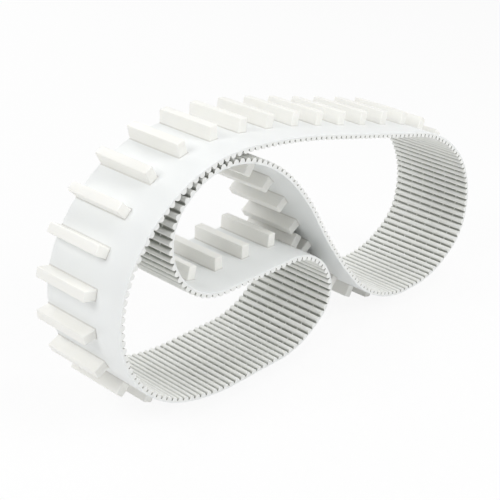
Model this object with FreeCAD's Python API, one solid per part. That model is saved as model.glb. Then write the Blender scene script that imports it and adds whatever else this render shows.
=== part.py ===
import FreeCAD, Part
import math
import os

# Endless cleated timing belt, lying free on a floor and curled into itself.
# Millimetres, X along the loop, Y across the belt, Z up, floor at Z = 0.

# Toothed band of 8 mm pitch: round teeth inside, smooth back outside.
tooth_pitch = 8.0
tooth_count = 250
belt_width = 100.0
root_to_pitch_line = 0.69
pitch_line_to_back = 1.51
tooth_width = 0.81 * tooth_pitch
tooth_height = 0.44 * tooth_pitch
tooth_facets = 5

# Cord ply inside the band, centred on the pitch line.
cord_diameter = 0.6
cord_edge_margin = 1.5

# Cleats welded across the smooth back, flush with its rear edge.
cleat_count = 53
cleat_thickness = 10.0
cleat_height = 14.0
cleat_length = 67.0
cleat_edge_bevel = 0.6
weld_bead = 0.6

# Lie of the loop, walked from the left end of its run on the floor, with the teeth on the left hand.
# Each bend is a row of tangent arcs (radius, share of the bend's turn in degrees).
nip_clearance = 1.6
lobe_run = 17.0
middle_span_slope = 58.0
top_span_slope = 13.0
lower_turn = ((94.0, 45.0), (36.0, 65.0), (67.0, 70.0))
fold = ((73.0, 74.0), (51.0, 62.0), (77.0, 44.0), (103.0, 25.0), (160.0, 21.0), (310.0, 12.0))
lobe_entry = ((600.0, 11.0), (145.0, 39.0), (96.0, 8.0))
right_lobe = ((110.0, 41.0), (51.0, 37.0), (96.0, 37.0), (113.0, 22.0), (170.0, 30.0))
crown = ((800.0, 8.0), (200.0, 11.0), (145.0, 56.0), (111.0, 42.0), (104.0, 25.0), (117.0, 32.0),
         (210.0, 19.0))

loop_length = tooth_pitch * tooth_count
cleat_spacing = loop_length / cleat_count
front_edge = -belt_width / 2
floor_run_height = cleat_height + pitch_line_to_back


def bend(arcs, turn):
    """Pieces (length, curvature) of a row of tangent arcs that together turn the belt by so many degrees."""
    shares = sum(share for radius, share in arcs)
    pieces = []
    for radius, share in arcs:
        sweep = math.radians(turn * share / shares)
        pieces.append((radius * abs(sweep), math.copysign(1 / radius, sweep)))
    return pieces


def advance(x, z, heading, length, curvature):
    """Walk along one piece of constant curvature."""
    if curvature == 0:
        return x + length * math.cos(heading), z + length * math.sin(heading), heading
    end = heading + curvature * length
    x += (math.sin(end) - math.sin(heading)) / curvature
    z -= (math.cos(end) - math.cos(heading)) / curvature
    return x, z, end


def travel(pieces, heading):
    """How far a row of pieces goes in X and Z, set off in the given direction."""
    x, z = 0.0, 0.0
    for length, curvature in pieces:
        x, z, heading = advance(x, z, heading, length, curvature)
    return x, z


def pitch_line(floor_run):
    """Pieces of the closed pitch line: three of its straights close it, then the teeth set its length."""
    span = math.radians(middle_span_slope)
    top = math.radians(top_span_slope)
    turn_bend = bend(lower_turn, 180.0)
    fold_bend = bend(fold, -180.0 - middle_span_slope)
    entry_bend = bend(lobe_entry, middle_span_slope)
    lobe_bend = bend(right_lobe, 180.0 - top_span_slope)
    crown_bend = bend(crown, 180.0 + top_span_slope)
    left_moves = [travel(turn_bend, 0.0), travel(fold_bend, math.pi), travel(entry_bend, -span)]
    right_moves = [travel(lobe_bend, 0.0), travel(crown_bend, math.pi - top)]
    middle_span = sum(move[1] for move in left_moves) / math.sin(span)
    top_span = -sum(move[1] for move in right_moves) / math.sin(top)
    bends_x = sum(move[0] for move in left_moves + right_moves)
    fold_floor = floor_run + lobe_run + middle_span * math.cos(span) - top_span * math.cos(top) + bends_x
    pieces = [(floor_run, 0.0)] + turn_bend + [(fold_floor, 0.0)] + fold_bend
    pieces += [(middle_span, 0.0)] + entry_bend + [(lobe_run, 0.0)] + lobe_bend
    pieces += [(top_span, 0.0)] + crown_bend
    scale = loop_length / sum(length for length, curvature in pieces)
    return [(length * scale, curvature / scale) for length, curvature in pieces]


def frame_at(path, station):
    """Point on the pitch line at the front edge, with the running and the outward direction there."""
    station %= loop_length
    x, z, heading = 0.0, floor_run_height, 0.0
    for length, curvature in path:
        step = min(station, length)
        x, z, heading = advance(x, z, heading, step, curvature)
        station -= step
        if station <= 0:
            break
    along = FreeCAD.Vector(math.cos(heading), 0, math.sin(heading))
    outward = FreeCAD.Vector(math.sin(heading), 0, -math.cos(heading))
    return FreeCAD.Vector(x, front_edge, z), along, outward


def closest_backs(path):
    """Least gap between the backs of the lower turn and of the middle span, and its two stations."""
    starts = [0.0]
    for length, curvature in path:
        starts.append(starts[-1] + length)
    span_piece = 2 + len(lower_turn) + len(fold)
    turn_range = range(int(starts[1]), int(starts[1 + len(lower_turn)]))
    span_range = range(int(starts[span_piece - 2]), int(starts[span_piece + 2]))
    backs = []
    for stations in (turn_range, span_range):
        frames = [(station, frame_at(path, station)) for station in stations]
        backs.append([(station, frame[0] + frame[2] * pitch_line_to_back) for station, frame in frames])
    return min((a.distanceToPoint(b), s, t) for s, a in backs[0] for t, b in backs[1])


def settled_loop():
    """Path on which the cleats of the lower turn clear the middle span, and the stations of that nip."""
    span = math.radians(middle_span_slope)
    floor_run = cleat_spacing
    for attempt in range(6):
        path = pitch_line(floor_run)
        gap, turn_station, span_station = closest_backs(path)
        floor_run += (gap - cleat_height - nip_clearance) / math.sin(span)
    return path, turn_station, span_station


belt_path, turn_nip, span_nip = settled_loop()


def on_belt(station, u, v):
    """Point u along and v outward of the pitch line, in the straight frame of a station."""
    origin, along, outward = frame_at(belt_path, station)
    return origin + along * u + outward * v


def line(a, b):
    return Part.LineSegment(a, b).toShape()


def arc(a, b, c):
    """Arc from a through b to c, or a line where the three lie in one."""
    if b.distanceToLine(a, c - a) < 1e-5:
        return line(a, c)
    return Part.Arc(a, b, c).toShape()


def cleat_stations():
    """Evenly spaced cleats, set so that those on either side of the nip pass between each other."""
    first = ((turn_nip + span_nip) / 2 - cleat_spacing / 4) % cleat_spacing
    return [first + i * cleat_spacing for i in range(cleat_count)]


def band_wire(v):
    """Closed wire that runs round the whole loop at a fixed distance outward of the pitch line."""
    edges = []
    start = 0.0
    for length, curvature in belt_path:
        a = on_belt(start, 0, v)
        b = on_belt(start + length / 2, 0, v)
        c = on_belt(start + length, 0, v)
        edges.append(arc(a, b, c))
        start += length
    return Part.Wire(edges)


def tooth_wire():
    """Toothed inner outline: for every pitch half an oval in flat facets, and a land up to the next tooth."""
    angles = [math.pi * (1 - i / tooth_facets) for i in range(tooth_facets + 1)]
    profile = [(tooth_width / 2 * math.cos(angle), tooth_height * math.sin(angle)) for angle in angles]
    points = []
    for i in range(tooth_count):
        station = (i + 0.5) * tooth_pitch
        points += [on_belt(station, u, -root_to_pitch_line - v) for u, v in profile]
    return Part.makePolygon(points + points[:1])


def back_wire(stations):
    """Smooth outer outline with a flat seat under every cleat and two arcs from each seat to the next."""
    edges = []
    half_seat = cleat_thickness / 2 + weld_bead
    free_length = cleat_spacing - 2 * half_seat
    for station in stations:
        seat_start = on_belt(station, -half_seat, pitch_line_to_back)
        seat_end = on_belt(station, half_seat, pitch_line_to_back)
        free_stations = [station + half_seat + free_length * i / 4 for i in (1, 2, 3)]
        quarters = [on_belt(free_station, 0, pitch_line_to_back) for free_station in free_stations]
        next_seat = on_belt(station + cleat_spacing, -half_seat, pitch_line_to_back)
        edges.append(line(seat_start, seat_end))
        edges.append(arc(seat_end, quarters[0], quarters[1]))
        edges.append(arc(quarters[1], quarters[2], next_seat))
    return Part.Wire(edges)


def band(outer, inner, margin=0.0):
    """Ring between two wires, as wide as the belt less a margin at either edge."""
    face = Part.makeFace([outer, inner], "Part::FaceMakerBullseye")
    ring = face.extrude(FreeCAD.Vector(0, belt_width - 2 * margin, 0))
    ring.translate(FreeCAD.Vector(0, margin, 0))
    return ring


def cleat(station):
    """Plate standing across the back: bevelled along its free end, with a weld bead along its foot."""
    half = cleat_thickness / 2
    bevel_start = cleat_height - cleat_edge_bevel
    bead_edge = (half + weld_bead, 0)
    tip_edge = (half - cleat_edge_bevel, cleat_height)
    side = (bead_edge, (half, weld_bead), (half, bevel_start), tip_edge)
    outline = list(side) + [(-u, v) for u, v in reversed(side)]
    points = [on_belt(station, u, pitch_line_to_back + v) for u, v in outline]
    plate = Part.Face(Part.makePolygon(points + points[:1])).extrude(FreeCAD.Vector(0, cleat_length, 0))
    plate.translate(FreeCAD.Vector(0, belt_width - cleat_length, 0))
    return plate


stations = cleat_stations()
ply_outer = band_wire(cord_diameter / 2)
ply_inner = band_wire(-cord_diameter / 2)
ply_bed = band(band_wire(cord_diameter), ply_inner, cord_edge_margin)
nodes = {
    "back_layer": band(back_wire(stations), ply_outer),
    "cord_ply": band(ply_outer, ply_inner, cord_edge_margin),
    "tooth_layer": band(ply_outer, tooth_wire()).cut(ply_bed),
}
for number, station in enumerate(stations, start=1):
    nodes["cleat_%02d" % number] = cleat(station)

# The origin lies on the floor, under the middle of the loop.
whole = Part.makeCompound(list(nodes.values())).BoundBox
os.makedirs("parts", exist_ok=True)
for name, solid in nodes.items():
    solid.translate(FreeCAD.Vector(-whole.Center.x, 0, -whole.ZMin))
    solid.exportStep("parts/%s.step" % name)
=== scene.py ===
import math

import bmesh
import bpy
from mathutils import Matrix, Vector


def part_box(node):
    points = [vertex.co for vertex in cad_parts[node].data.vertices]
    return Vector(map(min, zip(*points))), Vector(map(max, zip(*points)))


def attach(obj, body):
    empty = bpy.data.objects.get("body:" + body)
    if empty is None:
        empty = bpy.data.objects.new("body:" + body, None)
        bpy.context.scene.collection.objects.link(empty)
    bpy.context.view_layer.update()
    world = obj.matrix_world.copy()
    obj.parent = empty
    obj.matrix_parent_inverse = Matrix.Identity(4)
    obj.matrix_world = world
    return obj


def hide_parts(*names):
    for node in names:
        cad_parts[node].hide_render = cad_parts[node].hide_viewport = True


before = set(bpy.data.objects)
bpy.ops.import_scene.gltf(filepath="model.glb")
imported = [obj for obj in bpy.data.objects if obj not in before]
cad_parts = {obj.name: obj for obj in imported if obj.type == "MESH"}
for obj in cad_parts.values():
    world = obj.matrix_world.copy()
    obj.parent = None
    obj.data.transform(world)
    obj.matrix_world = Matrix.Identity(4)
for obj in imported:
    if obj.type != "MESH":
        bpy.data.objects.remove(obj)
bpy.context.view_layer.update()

mm = 0.001
across_belt = (0.0, 1.0, 0.0)

# Band, in millimetres. Outward of the pitch line counts as positive.
tooth_pitch = 8.0
tooth_count = 250
belt_width = 100.0
tooth_width = 0.81 * tooth_pitch
tooth_height = 0.44 * tooth_pitch
tooth_root = -0.69
belt_back = 1.51
back_edge_bevel = 0.25

# Low bridges across the grooves between the teeth, set out from the front edge.
# Their paleness is a level of the painted groove shade: 0 is the middle of a groove, 1 is the crest of a
# tooth.
bridge_count = 6
first_bridge = 14.7
bridge_spacing = 16.0
bridge_top = 1.2
bridge_flank = 0.5
bridge_height = 0.8
bridge_paleness = 0.36

# Cord ply, centred on the pitch line, and the spacing of the cords in it.
ply_half = 0.3
ply_edge_margin = 1.5
cord_spacing = 1.0

# Cleats, in millimetres. The first one's place along the path is that of the part's source.
cleat_count = 53
first_cleat = 32.7358
cleat_thickness = 10.0
cleat_height = 14.0
cleat_length = 67.0
cleat_rounding = 1.05
weld_bead = 0.6

# Lie of the loop: the straights, then each bend as tangent arcs (radius, share of the turn in degrees).
floor_run = 66.3107
lobe_run = 17.0
middle_span_slope = 58.0
top_span_slope = 13.0
lower_turn = ((94.0, 45.0), (36.0, 65.0), (67.0, 70.0))
fold = ((73.0, 74.0), (51.0, 62.0), (77.0, 44.0), (103.0, 25.0), (160.0, 21.0), (310.0, 12.0))
lobe_entry = ((600.0, 11.0), (145.0, 39.0), (96.0, 8.0))
right_lobe = ((110.0, 41.0), (51.0, 37.0), (96.0, 37.0), (113.0, 22.0), (170.0, 30.0))
crown = ((800.0, 8.0), (200.0, 11.0), (145.0, 56.0), (111.0, 42.0), (104.0, 25.0), (117.0, 32.0),
         (210.0, 19.0))

loop_length = tooth_pitch * tooth_count
cleat_spacing = loop_length / cleat_count
half_width = belt_width / 2
half_seat = cleat_thickness / 2 + weld_bead
cleat_front = half_width - cleat_length
cleat_nodes = ["cleat_%02d" % number for number in range(1, cleat_count + 1)]

# Height at which a bridge would be as free of painted groove shade as the crest of a tooth.
clear_height = bridge_height / bridge_paleness

# Colours of the finishes.
cover_white = (0.875, 0.893, 0.888, 1.0)
tooth_white = (0.95, 0.957, 0.928, 1.0)
cut_white = (0.86, 0.87, 0.85, 1.0)
cleat_white = (0.93, 0.925, 0.885, 1.0)
# Painted contact shadow, with some grime, in a fine line round each cleat's foot:
foot_shadow_and_grime_grey = (0.72, 0.72, 0.70, 1.0)
# Painted shade down in the grooves between the teeth:
groove_shadow_grey = (0.25, 0.26, 0.225, 1.0)
# Painted contact shade, with the grey of the weld, low on each cleat:
weld_and_shadow_grey = (0.76, 0.75, 0.71, 1.0)
glow_through = (1.0, 0.97, 0.88)
cord_steel = (0.48, 0.48, 0.50, 1.0)

# Cast urethane: its cloudy drift of tone and its grain, what the grain adds to the drift,
# what both add to the roughness, and the height of the grain in millimetres.
tone_drift = 0.05
cloud_scale = 24.0
cloud_detail = 3.0
grain_detail = 2.0
speck_share = 0.35
grain_gloss = 0.3
cloud_gloss = 0.2
skin_relief = 0.02
noise_middle = 0.5

# Lines across the belt: how far the noise is squeezed along X, Y and Z.
line_squeeze = (1100.0, 24.0, 1100.0)
line_detail = 2.0

# Reach of the shades: round a cleat's foot in millimetres, up from the middle of a groove as a level,
# and up from a cleat's foot as a share of its height.
foot_shade = 1.1
groove_shade = 0.58
weld_shade = 0.09

# A face counts as a cut edge of the belt from this part of its normal along Y.
cut_edge_facing = 0.9

# Tone of the darkest cleat and how far the others rise above it.
darkest_cleat = 0.97
cleat_tone_spread = 0.04
cleat_tone_seed = 7

# Cords: range of the wave across the belt in which urethane turns to steel, roughness of that urethane,
# how much smoother the steel is, and the height of the bump in millimetres.
cord_flank = (-0.3, 0.1)
gap_roughness = 0.5
cord_polish = 0.2
cord_relief = 0.05

# Camera: azimuth, elevation and roll in degrees, aim (X from the start of the path, Z) in millimetres.
camera_angles = (-47.902, 26.205, 2.272)
camera_aim = (14.85, 157.56)
camera_lens = 81.65
camera_distance = 1.0655

# Stage, in metres: the white room's light, the floor and its share of white glow, and the lamps
# (name, place, size, watts) with the point that they look at.
pure_white = (1.0, 1.0, 1.0, 1.0)
room_light = 0.45
floor_reach = 4.0
floor_white = (0.9, 0.9, 0.9, 1.0)
floor_roughness = 0.9
floor_glow = 0.9
lamp_aim = (0.0, 0.0, 0.12)
lamps = (("left_softbox", (-1.6, 0.2, 1.5), 0.9, 14.0),
         ("front_softbox", (0.4, -1.5, 1.3), 1.0, 14.0),
         ("rear_softbox", (0.2, 1.8, 1.0), 1.2, 7.5),
         ("overhead_softbox", (0.3, -0.2, 2.0), 1.0, 4.0))


# The pitch line


def bend(arcs, turn):
    """Pieces (length, curvature) of a row of tangent arcs that together turn the belt by so many degrees."""
    shares = sum(share for radius, share in arcs)
    pieces = []
    for radius, share in arcs:
        sweep = math.radians(turn * share / shares)
        pieces.append((radius * abs(sweep), math.copysign(1 / radius, sweep)))
    return pieces


def advance(x, z, heading, length, curvature):
    """Walk along one piece of constant curvature."""
    if curvature == 0:
        return x + length * math.cos(heading), z + length * math.sin(heading), heading
    end = heading + curvature * length
    x += (math.sin(end) - math.sin(heading)) / curvature
    z -= (math.cos(end) - math.cos(heading)) / curvature
    return x, z, end


def travel(pieces, heading):
    """How far a row of pieces goes in X and Z, set off in the given direction."""
    x, z = 0.0, 0.0
    for length, curvature in pieces:
        x, z, heading = advance(x, z, heading, length, curvature)
    return x, z


def pitch_line():
    """Pieces of the closed pitch line: three of its straights close it, then the teeth set its length."""
    span = math.radians(middle_span_slope)
    top = math.radians(top_span_slope)
    turn_bend = bend(lower_turn, 180.0)
    fold_bend = bend(fold, -180.0 - middle_span_slope)
    entry_bend = bend(lobe_entry, middle_span_slope)
    lobe_bend = bend(right_lobe, 180.0 - top_span_slope)
    crown_bend = bend(crown, 180.0 + top_span_slope)
    left_moves = [travel(turn_bend, 0.0), travel(fold_bend, math.pi), travel(entry_bend, -span)]
    right_moves = [travel(lobe_bend, 0.0), travel(crown_bend, math.pi - top)]
    middle_span = sum(move[1] for move in left_moves) / math.sin(span)
    top_span = -sum(move[1] for move in right_moves) / math.sin(top)
    bends_x = sum(move[0] for move in left_moves + right_moves)
    spans_x = middle_span * math.cos(span) - top_span * math.cos(top)
    fold_floor = floor_run + lobe_run + spans_x + bends_x
    pieces = [(floor_run, 0.0)] + turn_bend + [(fold_floor, 0.0)] + fold_bend
    pieces += [(middle_span, 0.0)] + entry_bend + [(lobe_run, 0.0)] + lobe_bend
    pieces += [(top_span, 0.0)] + crown_bend
    scale = loop_length / sum(length for length, curvature in pieces)
    return [(length * scale, curvature / scale) for length, curvature in pieces]


def path_start():
    """Start of the path (X, Z) in millimetres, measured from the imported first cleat."""
    low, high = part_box(cleat_nodes[0])
    cleat_middle = (low[0] + high[0]) / 2 / mm
    cleat_tip = low[2] / mm
    return cleat_middle - first_cleat, cleat_tip + cleat_height + belt_back


def flat_curve(name, points, cyclic):
    """Curve object of straight pieces through points given in millimetres."""
    data = bpy.data.curves.new(name, "CURVE")
    data.dimensions = "3D"
    spline = data.splines.new("POLY")
    spline.points.add(len(points) - 1)
    for target, point in zip(spline.points, points):
        target.co = (point[0] * mm, point[1] * mm, point[2] * mm, 1.0)
    spline.use_cyclic_u = cyclic
    guide = bpy.data.objects.new(name, data)
    bpy.context.scene.collection.objects.link(guide)
    return guide


def pitch_line_guide(step=1.0):
    """Closed guide along the pitch line, in steps of about so many millimetres."""
    x, z = path_start()
    heading = 0.0
    points = []
    for length, curvature in pitch_line():
        steps = max(2, round(length / step))
        for number in range(steps):
            points.append((x, 0.0, z))
            x, z, heading = advance(x, z, heading, length / steps, curvature)
    return flat_curve("pitch_line", points, True)


# Node helpers


class Graph:
    """Adds nodes to a tree and plugs sockets or plain values into them."""

    def __init__(self, tree):
        self.tree = tree

    def plug(self, socket, value):
        if isinstance(value, bpy.types.NodeSocket):
            self.tree.links.new(value, socket)
        else:
            socket.default_value = value

    def add(self, kind, inputs=None, **settings):
        node = self.tree.nodes.new(kind)
        for name, value in settings.items():
            setattr(node, name, value)
        for key, value in (inputs or {}).items():
            self.plug(node.inputs[key], value)
        return node

    def math(self, operation, a, b=0.0):
        return self.add("ShaderNodeMath", {0: a, 1: b}, operation=operation).outputs[0]

    def vector(self, operation, a, b):
        return self.add("ShaderNodeVectorMath", {0: a, 1: b}, operation=operation).outputs[0]

    def scaled(self, a, factor):
        return self.add("ShaderNodeVectorMath", {0: a, "Scale": factor}, operation="SCALE").outputs[0]

    def split(self, vector):
        return self.add("ShaderNodeSeparateXYZ", {0: vector}).outputs

    def mixed_vector(self, share, a, b):
        return self.add("ShaderNodeMix", {0: share, 4: a, 5: b}, data_type="VECTOR").outputs[1]

    def mixed_colour(self, share, a, b):
        return self.add("ShaderNodeMix", {0: share, 6: a, 7: b}, data_type="RGBA").outputs[2]

    def object_place(self):
        return self.add("ShaderNodeTexCoord").outputs["Object"]

    def noise(self, place, scale, detail):
        """Noise that swings to either side of zero."""
        plugs = {"Vector": place, "Scale": scale, "Detail": detail}
        return self.math("SUBTRACT", self.add("ShaderNodeTexNoise", plugs).outputs[0], noise_middle)

    def attribute(self, name):
        node = self.add("GeometryNodeInputNamedAttribute", {"Name": name}, data_type="FLOAT")
        return node.outputs["Attribute"]

    def store(self, geometry, name, value):
        plugs = {"Geometry": geometry, "Name": name, "Value": value}
        node = self.add("GeometryNodeStoreNamedAttribute", plugs, data_type="FLOAT", domain="POINT")
        return node.outputs["Geometry"]

    def shape(self, guide):
        return self.add("GeometryNodeObjectInfo", {"Object": guide}).outputs["Geometry"]

    def on_guide(self, guide, share):
        """Point and direction of the guide at a share of its length, and the direction outward there."""
        plugs = {"Curves": guide, "Factor": share}
        line = self.add("GeometryNodeSampleCurve", plugs, mode="FACTOR").outputs
        return line["Position"], line["Tangent"], self.vector("CROSS_PRODUCT", across_belt, line["Tangent"])


def open_tree(name, kind, inputs, outputs):
    """Tree with named inputs and outputs, given as (name, socket kind)."""
    tree = bpy.data.node_groups.new(name, kind)
    for way, sockets in (("INPUT", inputs), ("OUTPUT", outputs)):
        for label, socket_kind in sockets:
            tree.interface.new_socket(label, in_out=way, socket_type=socket_kind)
    graph = Graph(tree)
    return graph, graph.add("NodeGroupInput").outputs, graph.add("NodeGroupOutput").inputs


def geometry_tree(name, inputs):
    return open_tree(name, "GeometryNodeTree", inputs, (("Geometry", "NodeSocketGeometry"),))


def effect_group(name, inputs, outputs):
    return open_tree(name, "ShaderNodeTree", inputs, outputs)


def close_tree(graph, geometry, material, result):
    """End every geometry tree the same way: real faces with their material."""
    real = graph.add("GeometryNodeRealizeInstances", {"Geometry": geometry}).outputs["Geometry"]
    painted = graph.add("GeometryNodeSetMaterial", {"Geometry": real, "Material": material})
    graph.plug(result["Geometry"], painted.outputs["Geometry"])


def grown(name, tree, values, sharp_angle=35.0):
    """Plain mesh object made by a geometry tree with the given input values."""
    seed = bpy.data.objects.new(name + "_seed", bpy.data.meshes.new(name + "_seed"))
    bpy.context.scene.collection.objects.link(seed)
    modifier = seed.modifiers.new("grow", "NODES")
    modifier.node_group = tree
    for socket in tree.interface.items_tree:
        if socket.in_out == "INPUT":
            modifier[socket.identifier] = values[socket.name]
    depsgraph = bpy.context.evaluated_depsgraph_get()
    mesh = bpy.data.meshes.new_from_object(seed.evaluated_get(depsgraph), depsgraph=depsgraph)
    bpy.data.objects.remove(seed)
    mesh.name = name
    outward = bmesh.new()
    outward.from_mesh(mesh)
    if outward.calc_volume(signed=True) < 0:
        bmesh.ops.reverse_faces(outward, faces=outward.faces)
    outward.to_mesh(mesh)
    outward.free()
    mesh.shade_smooth()
    mesh.set_sharp_from_angle(angle=math.radians(sharp_angle))
    piece = bpy.data.objects.new(name, mesh)
    bpy.context.scene.collection.objects.link(piece)
    return piece


# The band


def tooth_profile(steps=10):
    """Half an oval from foot to foot (held at, height, slide), all of it in the frame of the tooth."""
    angles = [math.pi * (1 - step / steps) for step in range(steps + 1)]
    return [(0.0, tooth_height * math.sin(angle), tooth_width / 2 * math.cos(angle)) for angle in angles]


def cover_profile(steps=6):
    """Back from cleat to cleat (held at, height, slide): a flat seat with free belt on either side."""
    free = cleat_spacing / 2 - half_seat
    reaches = [half_seat + free * step / steps for step in range(1, steps + 1)]
    before = [(-reach, 0.0, 0.0) for reach in reversed(reaches)]
    seat = [(0.0, 0.0, -half_seat), (0.0, 0.0, half_seat)]
    return before + seat + [(reach, 0.0, 0.0) for reach in reaches[:-1]]


def tooth_section():
    """Section of the toothed layer (across, outward, bridge), with the bed of the cord ply outside."""
    flanks = ((-bridge_top / 2 - bridge_flank, 0.0), (-bridge_top / 2, bridge_height),
              (bridge_top / 2, bridge_height), (bridge_top / 2 + bridge_flank, 0.0))
    points = [(-half_width, tooth_root, 0.0)]
    for number in range(bridge_count):
        middle = first_bridge + bridge_spacing * number - half_width
        points += [(middle + reach, tooth_root, rise) for reach, rise in flanks]
    points.append((half_width, tooth_root, 0.0))
    bed = half_width - ply_edge_margin
    outer = ((half_width, ply_half), (bed, ply_half), (bed, -ply_half))
    points += [(across, outward, 0.0) for across, outward in outer]
    return points + [(-across, outward, 0.0) for across, outward in reversed(outer)]


def cover_section():
    """Section of the back cover (across, outward, bridge), with a fine bevel along both edges."""
    inset = half_width - back_edge_bevel
    corners = ((half_width, ply_half), (half_width, belt_back - back_edge_bevel), (inset, belt_back))
    points = [(across, outward, 0.0) for across, outward in corners]
    return points + [(-across, outward, 0.0) for across, outward in reversed(corners)]


def band_tree():
    """Sweep a section along the guide; its worked face follows a profile that repeats at every pitch."""
    graph, given, result = geometry_tree("band_along_pitch_line", (
        ("Guide", "NodeSocketObject"), ("Section", "NodeSocketObject"), ("Profile", "NodeSocketObject"),
        ("Profile points", "NodeSocketInt"), ("Repeats", "NodeSocketInt"), ("Pitch", "NodeSocketFloat"),
        ("Start", "NodeSocketFloat"), ("Face", "NodeSocketFloat"), ("Face margin", "NodeSocketFloat"),
        ("Clear height", "NodeSocketFloat"), ("Material", "NodeSocketMaterial")))
    guide = graph.shape(given["Guide"])
    position = graph.add("GeometryNodeInputPosition").outputs[0]
    index = graph.add("GeometryNodeInputIndex").outputs[0]

    # A ring with one point for each point of the profile at each pitch, which knows its place on the guide.
    steps = graph.math("MULTIPLY", given["Repeats"], given["Profile points"])
    ring = graph.add("GeometryNodeCurvePrimitiveCircle", {"Resolution": steps}).outputs["Curve"]
    number = graph.math("FLOOR", graph.math("DIVIDE", index, given["Profile points"]))
    sample = graph.add("GeometryNodeSampleIndex", data_type="FLOAT_VECTOR", domain="POINT")
    graph.plug(sample.inputs["Geometry"], graph.shape(given["Profile"]))
    graph.plug(sample.inputs["Value"], position)
    graph.plug(sample.inputs["Index"], graph.math("FLOORED_MODULO", index, given["Profile points"]))
    profile = graph.split(sample.outputs["Value"])
    whole = graph.math("MULTIPLY", given["Repeats"], given["Pitch"])
    centre = graph.math("MULTIPLY", graph.math("ADD", number, 0.5), given["Pitch"])
    anchor = graph.math("ADD", graph.math("ADD", centre, given["Start"]), profile["X"])
    station = graph.math("ADD", anchor, profile["Z"])
    reach = graph.math("ABSOLUTE", graph.math("ADD", profile["X"], profile["Z"]))
    ring = graph.store(ring, "anchor", graph.math("FRACT", graph.math("DIVIDE", anchor, whole)))
    ring = graph.store(ring, "station", graph.math("FRACT", graph.math("DIVIDE", station, whole)))
    ring = graph.store(ring, "slide", profile["Z"])
    ring = graph.store(ring, "relief", profile["Y"])
    ring = graph.store(ring, "reach", reach)

    # The section goes round the ring and keeps its own measures.
    place = graph.split(position)
    section = graph.store(graph.shape(given["Section"]), "across", place["X"])
    section = graph.store(section, "outward", place["Y"])
    section = graph.store(section, "bridge", place["Z"])
    sweep = graph.add("GeometryNodeCurveToMesh", {"Curve": ring, "Profile Curve": section}).outputs["Mesh"]

    # Every point then goes to its place: the worked face in the frame of its anchor, the rest by station.
    outward = graph.attribute("outward")
    point, tangent, normal = graph.on_guide(guide, graph.attribute("station"))
    plain = graph.vector("ADD", point, graph.scaled(normal, outward))
    raised = graph.math("MAXIMUM", graph.attribute("relief"), graph.attribute("bridge"))
    point, tangent, normal = graph.on_guide(guide, graph.attribute("anchor"))
    worked = graph.vector("ADD", point, graph.scaled(tangent, graph.attribute("slide")))
    worked = graph.vector("ADD", worked, graph.scaled(normal, graph.math("SUBTRACT", outward, raised)))
    off_face = graph.math("ABSOLUTE", graph.math("SUBTRACT", outward, given["Face"]))
    on_face = graph.math("LESS_THAN", off_face, given["Face margin"])
    spot = graph.mixed_vector(on_face, plain, worked)
    across = graph.add("ShaderNodeCombineXYZ", {"Y": graph.attribute("across")}).outputs[0]
    spot = graph.vector("ADD", spot, across)

    # Level for the shade: 1 on the crest of a tooth, 0 in the middle of a groove, between them on a bridge.
    from_crest = graph.math("DIVIDE", graph.math("MULTIPLY", graph.attribute("reach"), 2.0), given["Pitch"])
    bridged = graph.math("DIVIDE", graph.attribute("bridge"), given["Clear height"])
    crest = graph.math("MAXIMUM", graph.math("SUBTRACT", 1.0, from_crest), bridged)
    sweep = graph.store(sweep, "crest", crest)
    sweep = graph.add("GeometryNodeSetPosition", {"Geometry": sweep, "Position": spot}).outputs["Geometry"]
    close_tree(graph, sweep, given["Material"], result)
    return graph.tree


def band_piece(name, tree, guide, section, profile, values):
    """Layer of the band that has the given section and, on its worked face, the given profile."""
    outline = flat_curve(name + "_section", section, True)
    repeat = flat_curve(name + "_profile", profile, False)
    values.update({"Guide": guide, "Section": outline, "Profile": repeat, "Profile points": len(profile)})
    values.update({"Face margin": ply_half * mm, "Clear height": clear_height * mm})
    piece = grown(name, tree, values)
    bpy.data.objects.remove(outline)
    bpy.data.objects.remove(repeat)
    return piece


# The cleats


def quarter_turn(steps):
    """Angles from 0 to 90 degrees in even steps."""
    return [math.radians(90) * step / steps for step in range(steps + 1)]


def cleat_ring(inset, sink=0.2, fillet_steps=3, round_steps=4):
    """Outline of a cleat (along, outward), shrunk by an inset that rounds its ends off."""
    half = cleat_thickness / 2 - inset
    top = cleat_height - inset
    side = [(half + weld_bead, -sink)]
    for angle in quarter_turn(fillet_steps):
        side.append((half + weld_bead * (1 - math.sin(angle)), weld_bead * (1 - math.cos(angle))))
    for angle in quarter_turn(round_steps):
        inward = cleat_rounding * (1 - math.cos(angle))
        down = cleat_rounding * (1 - math.sin(angle))
        side.append((half - inward, top - down))
    return side + [(-along, outward) for along, outward in reversed(side)]


def cleat_block(end_steps=4):
    """One cleat on its seat: a block with rounded edges and a weld bead along its foot."""
    ends = []
    for angle in quarter_turn(end_steps):
        ends.append((cleat_rounding * (1 - math.sin(angle)), cleat_rounding * (1 - math.cos(angle))))
    rings = [(cleat_front + reach, inset) for inset, reach in ends]
    rings += [(half_width - reach, inset) for inset, reach in reversed(ends)]
    block = bmesh.new()
    loops = []
    for across, inset in rings:
        corners = [(along * mm, -across * mm, outward * mm) for along, outward in cleat_ring(inset)]
        loops.append([block.verts.new(corner) for corner in corners])
    for near, far in zip(loops, loops[1:]):
        for i in range(len(near)):
            block.faces.new((near[i - 1], near[i], far[i], far[i - 1]))
    block.faces.new(loops[0])
    block.faces.new(loops[-1])
    bmesh.ops.recalc_face_normals(block, faces=block.faces)
    mesh = bpy.data.meshes.new("cleat_block")
    block.to_mesh(mesh)
    block.free()
    seed = bpy.data.objects.new("cleat_block", mesh)
    bpy.context.scene.collection.objects.link(seed)
    return seed


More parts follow.
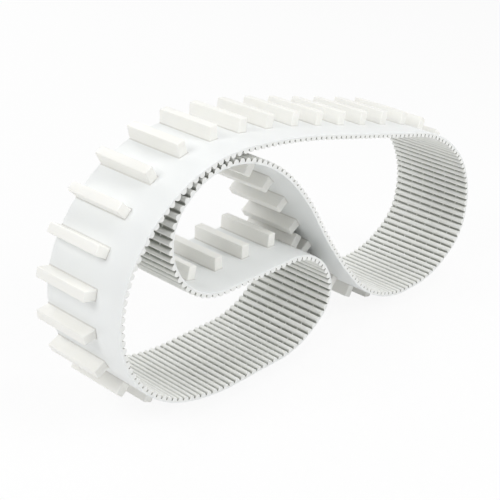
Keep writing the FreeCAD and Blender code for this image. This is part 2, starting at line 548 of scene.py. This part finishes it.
def cleat_tree():
    """Set the block on the back at even stations along the guide, each with a tone of its own."""
    graph, given, result = geometry_tree("cleats_along_pitch_line", (
        ("Guide", "NodeSocketObject"), ("Block", "NodeSocketObject"), ("Count", "NodeSocketInt"),
        ("First", "NodeSocketFloat"), ("Loop", "NodeSocketFloat"), ("Seat", "NodeSocketFloat"),
        ("Height", "NodeSocketFloat"), ("Seed", "NodeSocketInt"), ("Material", "NodeSocketMaterial")))
    index = graph.add("GeometryNodeInputIndex").outputs[0]
    start = graph.math("DIVIDE", given["First"], given["Loop"])
    station = graph.math("ADD", start, graph.math("DIVIDE", index, given["Count"]))
    point, tangent, normal = graph.on_guide(graph.shape(given["Guide"]), station)
    seat = graph.vector("ADD", point, graph.scaled(normal, given["Seat"]))
    spots = graph.add("GeometryNodePoints", {"Count": given["Count"], "Position": seat}).outputs[0]
    turn = graph.add("FunctionNodeAxesToRotation", primary_axis="Z", secondary_axis="X")
    graph.plug(turn.inputs["Primary Axis"], normal)
    graph.plug(turn.inputs["Secondary Axis"], tangent)
    tone = graph.add("FunctionNodeRandomValue", {"Seed": given["Seed"]}, data_type="FLOAT").outputs["Value"]
    spots = graph.store(spots, "tone", tone)
    height = graph.split(graph.add("GeometryNodeInputPosition").outputs[0])["Z"]
    rise = graph.math("DIVIDE", height, given["Height"])
    block = graph.store(graph.shape(given["Block"]), "rise", rise)
    plugs = {"Points": spots, "Instance": block, "Rotation": turn.outputs[0]}
    blocks = graph.add("GeometryNodeInstanceOnPoints", plugs).outputs["Instances"]
    close_tree(graph, blocks, given["Material"], result)
    return graph.tree


def cleat_row(guide, material):
    """All the cleats in one piece."""
    block = cleat_block()
    piece = grown("cleats", cleat_tree(), {
        "Guide": guide, "Block": block, "Count": cleat_count, "First": first_cleat, "Loop": loop_length,
        "Seat": belt_back * mm, "Height": cleat_height * mm, "Seed": cleat_tone_seed,
        "Material": material})
    bpy.data.objects.remove(block)
    return piece


# Finishes


def urethane_skin():
    """Cast urethane: a slow drift of tone, and a fine grain in its gloss and its surface."""
    graph, given, result = effect_group("urethane_skin", (
        ("Base", "NodeSocketColor"), ("Drift", "NodeSocketFloat"), ("Matte", "NodeSocketFloat"),
        ("Grain", "NodeSocketFloat")), (
        ("Color", "NodeSocketColor"), ("Roughness", "NodeSocketFloat"), ("Height", "NodeSocketFloat")))
    place = graph.object_place()
    cloud = graph.noise(place, cloud_scale, cloud_detail)
    grain = graph.noise(place, given["Grain"], grain_detail)
    drift = graph.math("ADD", graph.math("MULTIPLY", cloud, given["Drift"]), 1.0)
    speck = graph.math("MULTIPLY", grain, graph.math("MULTIPLY", given["Drift"], speck_share))
    graph.plug(result["Color"], graph.scaled(given["Base"], graph.math("ADD", drift, speck)))
    grain_part = graph.math("MULTIPLY", grain, grain_gloss)
    gloss = graph.math("ADD", grain_part, graph.math("MULTIPLY", cloud, cloud_gloss))
    graph.plug(result["Roughness"], graph.math("ADD", given["Matte"], gloss))
    graph.plug(result["Height"], grain)
    return graph.tree


def recess_shade():
    """Painted shade that gathers in a recess: full at level 0, gone at the given depth."""
    graph, given, result = effect_group("recess_shade", (
        ("Color", "NodeSocketColor"), ("Shade", "NodeSocketColor"), ("Level", "NodeSocketFloat"),
        ("Depth", "NodeSocketFloat")), (("Color", "NodeSocketColor"),))
    plugs = {"Value": given["Level"], "From Max": given["Depth"]}
    clear = graph.add("ShaderNodeMapRange", plugs, interpolation_type="SMOOTHSTEP").outputs[0]
    graph.plug(result["Color"], graph.mixed_colour(clear, given["Shade"], given["Color"]))
    return graph.tree


def drawn_lines():
    """Fine lines that run across the belt, as left by a cutter or a mould."""
    graph, given, result = effect_group("drawn_lines", (
        ("Color", "NodeSocketColor"), ("Strength", "NodeSocketFloat")), (
        ("Color", "NodeSocketColor"), ("Height", "NodeSocketFloat")))
    squeezed = graph.vector("MULTIPLY", graph.object_place(), line_squeeze)
    lines = graph.math("MULTIPLY", graph.noise(squeezed, 1.0, line_detail), given["Strength"])
    graph.plug(result["Color"], graph.scaled(given["Color"], graph.math("ADD", lines, 1.0)))
    graph.plug(result["Height"], lines)
    return graph.tree


class Finish:
    """A material of one shader, with the effects placed before it."""

    def __init__(self, name, **constants):
        self.material = bpy.data.materials.new(name)
        self.material.use_nodes = True
        self.graph = Graph(self.material.node_tree)
        self.shader = self.material.node_tree.nodes["Principled BSDF"]
        for label, value in constants.items():
            self.shader.inputs[label.replace("_", " ")].default_value = value

    def effect(self, tree, plugs):
        return self.graph.add("ShaderNodeGroup", plugs, node_tree=tree).outputs

    def attribute(self, name):
        return self.graph.add("ShaderNodeAttribute", attribute_name=name).outputs["Fac"]

    def across(self):
        return self.graph.split(self.graph.object_place())["Y"]

    def cut_edges(self, colour):
        """Duller tone on the two cut edges of the belt, which face along Y."""
        normal = self.graph.add("ShaderNodeNewGeometry").outputs["Normal"]
        facing = self.graph.math("ABSOLUTE", self.graph.split(normal)["Y"])
        edge = self.graph.math("GREATER_THAN", facing, cut_edge_facing)
        return self.graph.mixed_colour(edge, colour, cut_white)

    def close(self, colour, roughness, height, relief):
        """Plug the surface into the shader; the relief is the height of its bump in millimetres."""
        bump = self.graph.add("ShaderNodeBump", {"Height": height, "Distance": relief * mm}).outputs[0]
        for label, value in (("Base Color", colour), ("Roughness", roughness), ("Normal", bump)):
            self.graph.plug(self.shader.inputs[label], value)
        return self.material


def cover_finish(skin, shade):
    """Smooth back of the belt; painted contact shadow and grime in a fine line round each cleat's foot."""
    finish = Finish("back_urethane", Specular_IOR_Level=0.35, Subsurface_Weight=0.1,
                    Subsurface_Scale=0.002, Subsurface_Radius=glow_through)
    graph = finish.graph
    base = finish.effect(skin, {"Base": cover_white, "Drift": tone_drift, "Matte": 0.42, "Grain": 700.0})
    beside = graph.math("SUBTRACT", finish.attribute("reach"), half_seat * mm)
    beside = graph.math("MAXIMUM", beside, 0.0)
    before = graph.math("SUBTRACT", cleat_front * mm, finish.across())
    before = graph.math("MAXIMUM", before, 0.0)
    squares = [graph.math("MULTIPLY", side, side) for side in (beside, before)]
    from_foot = graph.math("SQRT", graph.math("ADD", squares[0], squares[1]))
    # Fine line of painted contact shadow and grime round the foot of the cleat.
    plugs = {"Color": base["Color"], "Shade": foot_shadow_and_grime_grey, "Level": from_foot, "Depth": foot_shade * mm}
    colour = finish.effect(shade, plugs)["Color"]
    return finish.close(colour, base["Roughness"], base["Height"], skin_relief)


def tooth_finish(skin, shade, lines):
    """Moulded teeth, clear on top, with painted shade down in the grooves."""
    finish = Finish("tooth_urethane", Subsurface_Weight=0.1, Subsurface_Scale=0.001,
                    Subsurface_Radius=glow_through)
    base = finish.effect(skin, {"Base": tooth_white, "Drift": tone_drift, "Matte": 0.45, "Grain": 900.0})
    drawn = finish.effect(lines, {"Color": base["Color"], "Strength": 0.06})
    crest = finish.attribute("crest")
    # Painted shade in the grooves, full in the middle of a groove and gone up towards the crest.
    plugs = {"Color": drawn["Color"], "Shade": groove_shadow_grey, "Level": crest, "Depth": groove_shade}
    colour = finish.cut_edges(finish.effect(shade, plugs)["Color"])
    height = finish.graph.math("ADD", base["Height"], drawn["Height"])
    return finish.close(colour, base["Roughness"], height, skin_relief)


def cleat_finish(skin, shade, lines):
    """Cut urethane bars, each with a tone of its own; painted contact shade and a greyer weld along the
    foot.
    """
    finish = Finish("cleat_urethane", Subsurface_Weight=0.2, Subsurface_Scale=0.003,
                    Subsurface_Radius=glow_through)
    graph = finish.graph
    base = finish.effect(skin, {"Base": cleat_white, "Drift": tone_drift, "Matte": 0.4, "Grain": 600.0})
    drawn = finish.effect(lines, {"Color": base["Color"], "Strength": 0.04})
    tone = graph.math("MULTIPLY", finish.attribute("tone"), cleat_tone_spread)
    toned = graph.scaled(drawn["Color"], graph.math("ADD", tone, darkest_cleat))
    # Painted contact shade and weld grey low on the cleat, fading out with its rise.
    plugs = {"Color": toned, "Shade": weld_and_shadow_grey, "Level": finish.attribute("rise"), "Depth": weld_shade}
    colour = finish.effect(shade, plugs)["Color"]
    height = graph.math("ADD", base["Height"], drawn["Height"])
    return finish.close(colour, base["Roughness"], height, skin_relief)


def cord_finish():
    """Bright steel cords side by side across the belt, with urethane between them."""
    finish = Finish("steel_cords")
    graph = finish.graph
    wave = graph.math("MULTIPLY", finish.across(), 2 * math.pi / (cord_spacing * mm))
    wave = graph.math("SINE", wave)
    plugs = {"Value": wave, "From Min": cord_flank[0], "From Max": cord_flank[1]}
    steel = graph.add("ShaderNodeMapRange", plugs).outputs[0]
    colour = graph.mixed_colour(steel, tooth_white, cord_steel)
    graph.plug(finish.shader.inputs["Metallic"], steel)
    roughness = graph.math("SUBTRACT", gap_roughness, graph.math("MULTIPLY", steel, cord_polish))
    return finish.close(colour, roughness, wave, cord_relief)


# Stage


def white_backdrop(tree, kind, lit, white_share):
    """Seen directly or in a reflection, a white glow is mixed over what lights the scene."""
    graph = Graph(tree)
    path = graph.add("ShaderNodeLightPath").outputs
    seen = graph.math("MAXIMUM", path["Is Camera Ray"], path["Is Glossy Ray"])
    seen = graph.math("MAXIMUM", seen, path["Is Transmission Ray"])
    glow = graph.add(kind, {"Color": pure_white, "Strength": 1.0}).outputs[0]
    share = graph.math("MULTIPLY", seen, white_share)
    return graph.add("ShaderNodeMixShader", {0: share, 1: lit, 2: glow}).outputs[0]


def photo_camera():
    """Camera at the viewing angle of the photograph, slightly rolled."""
    azimuth, elevation, roll = (math.radians(angle) for angle in camera_angles)
    forward = Vector((-math.sin(azimuth) * math.cos(elevation), math.cos(azimuth) * math.cos(elevation),
                      -math.sin(elevation)))
    level = forward.cross(Vector((0.0, 0.0, 1.0))).normalized()
    upright = level.cross(forward)
    right = level * math.cos(roll) + upright * math.sin(roll)
    up = right.cross(forward)
    aim_x, aim_z = camera_aim
    aim = Vector(((path_start()[0] + aim_x) * mm, -half_width * mm, aim_z * mm))
    lens = bpy.data.cameras.new("photo_camera")
    lens.lens = camera_lens
    camera = bpy.data.objects.new("photo_camera", lens)
    camera.location = aim - forward * camera_distance
    camera.rotation_euler = Matrix((right, up, -forward)).transposed().to_euler()
    bpy.context.scene.collection.objects.link(camera)
    bpy.context.scene.camera = camera


def softbox(name, place, size, power):
    """Square soft lamp that looks at the middle of the loop."""
    lamp = bpy.data.lights.new(name, "AREA")
    lamp.size = size
    lamp.energy = power
    box = bpy.data.objects.new(name, lamp)
    box.location = place
    box.rotation_euler = (Vector(lamp_aim) - box.location).to_track_quat("-Z", "Y").to_euler()
    bpy.context.scene.collection.objects.link(box)


def white_surroundings():
    """White all round, which also lights the belt softly."""
    world = bpy.data.worlds.new("white_room")
    bpy.context.scene.world = world
    world.use_nodes = True
    nodes = world.node_tree.nodes
    nodes["Background"].inputs["Color"].default_value = pure_white
    nodes["Background"].inputs["Strength"].default_value = room_light
    seen = white_backdrop(world.node_tree, "ShaderNodeBackground", nodes["Background"].outputs[0], 1.0)
    world.node_tree.links.new(seen, nodes["World Output"].inputs["Surface"])


def white_floor():
    """White floor that keeps a faint shadow."""
    corners = [(-floor_reach, -floor_reach, 0.0), (floor_reach, -floor_reach, 0.0),
               (floor_reach, floor_reach, 0.0), (-floor_reach, floor_reach, 0.0)]
    mesh = bpy.data.meshes.new("floor")
    mesh.from_pydata(corners, [], [(0, 1, 2, 3)])
    floor = bpy.data.objects.new("floor", mesh)
    bpy.context.scene.collection.objects.link(floor)
    paint = bpy.data.materials.new("floor_white")
    paint.use_nodes = True
    nodes = paint.node_tree.nodes
    shader = nodes["Principled BSDF"]
    shader.inputs["Base Color"].default_value = floor_white
    shader.inputs["Roughness"].default_value = floor_roughness
    seen = white_backdrop(paint.node_tree, "ShaderNodeEmission", shader.outputs[0], floor_glow)
    paint.node_tree.links.new(seen, nodes["Material Output"].inputs["Surface"])
    mesh.materials.append(paint)


guide = pitch_line_guide()
tree = band_tree()
skin = urethane_skin()
shade = recess_shade()
lines = drawn_lines()
tooth_band = band_piece("tooth_band", tree, guide, tooth_section(), tooth_profile(), {
    "Repeats": tooth_count, "Pitch": tooth_pitch * mm, "Start": 0.0, "Face": tooth_root * mm,
    "Material": tooth_finish(skin, shade, lines)})
back_cover = band_piece("back_cover", tree, guide, cover_section(), cover_profile(), {
    "Repeats": cleat_count, "Pitch": cleat_spacing * mm, "Start": (first_cleat - cleat_spacing / 2) * mm,
    "Face": belt_back * mm, "Material": cover_finish(skin, shade)})
cleats = cleat_row(guide, cleat_finish(skin, shade, lines))
bpy.data.objects.remove(guide)
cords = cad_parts["cord_ply"]
cords.data.materials.clear()
cords.data.materials.append(cord_finish())

bpy.context.scene.view_settings.view_transform = "Standard"
photo_camera()
white_surroundings()
white_floor()
for lamp in lamps:
    softbox(*lamp)

for piece, slot, nodes in ((tooth_band, "tooth_urethane", ["tooth_layer"]),
                           (back_cover, "belt_urethane", ["back_layer"]),
                           (cleats, "cleat_urethane", cleat_nodes)):
    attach(piece, "root")
    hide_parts(*nodes)
